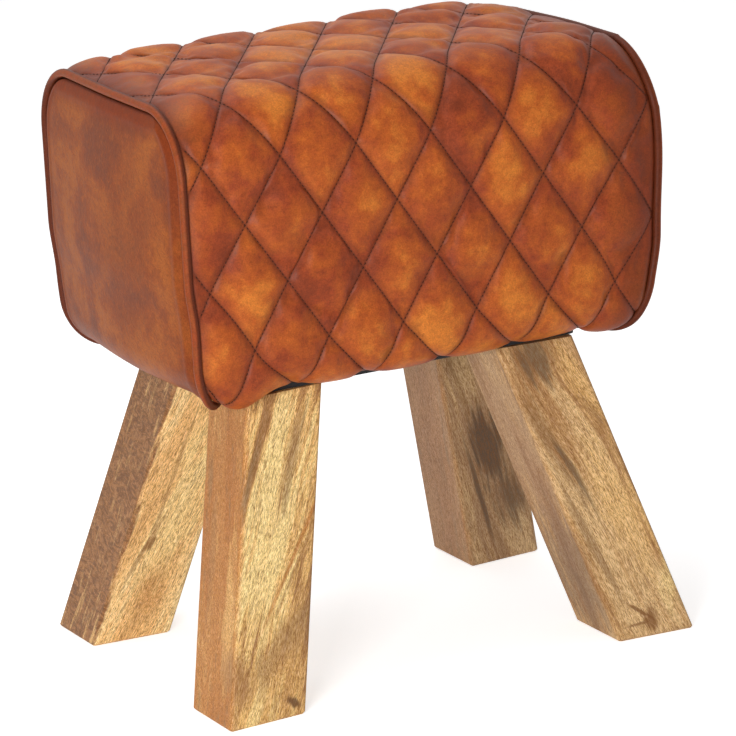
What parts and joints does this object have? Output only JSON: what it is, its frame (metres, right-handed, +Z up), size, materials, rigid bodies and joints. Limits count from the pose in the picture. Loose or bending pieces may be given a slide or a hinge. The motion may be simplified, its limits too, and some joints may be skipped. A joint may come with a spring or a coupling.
{
  "type": "footstool",
  "caption": "Pommel-horse footstool with a diamond-quilted leather body, piped plain ends and splayed square wooden legs.",
  "frame": {"origin": "on the floor, under the middle of the stool", "axes": "+Z up, +X to the right along the body's length, -Y towards the front"},
  "size_m": [0.408, 0.3036, 0.47],
  "materials": {
    "quilted_leather": "waxed, burnished in the grooves, satin",
    "panel_leather": "waxed, mottled, satin",
    "piping_leather": "waxed, burnished, satin",
    "cord": "twisted cotton",
    "foam": "open-cell upholstery foam",
    "plywood": "raw",
    "mango_wood": "clear lacquer, satin",
    "cambric": "woven, matt",
    "steel": "zinc plated"
  },
  "bodies": {
    "root": {"back_board": "plywood", "bottom_board": "plywood", "bottom_board_screws": "steel", "centre_rib": "plywood", "corner_blocks": "plywood", "dust_cover": "cambric", "end_board_left": "plywood", "end_board_right": "plywood", "end_board_screws": "steel", "end_panel_left": "panel_leather", "end_panel_right": "panel_leather", "foam_back": "foam", "foam_end_left": "foam", "foam_end_right": "foam", "foam_front": "foam", "foam_top": "foam", "front_board": "plywood", "hanger_bolts": "steel", "leg_back_left": "mango_wood", "leg_back_right": "mango_wood", "leg_board": "plywood", "leg_board_screws": "steel", "leg_front_left": "mango_wood", "leg_front_right": "mango_wood", "piping_cord_left": "cord", "piping_cord_right": "cord", "piping_left": "piping_leather", "piping_right": "piping_leather", "quilted_cover": "quilted_leather", "tee_nuts": "steel", "top_board": "plywood", "top_board_screws": "steel"}
  },
  "joints": []
}
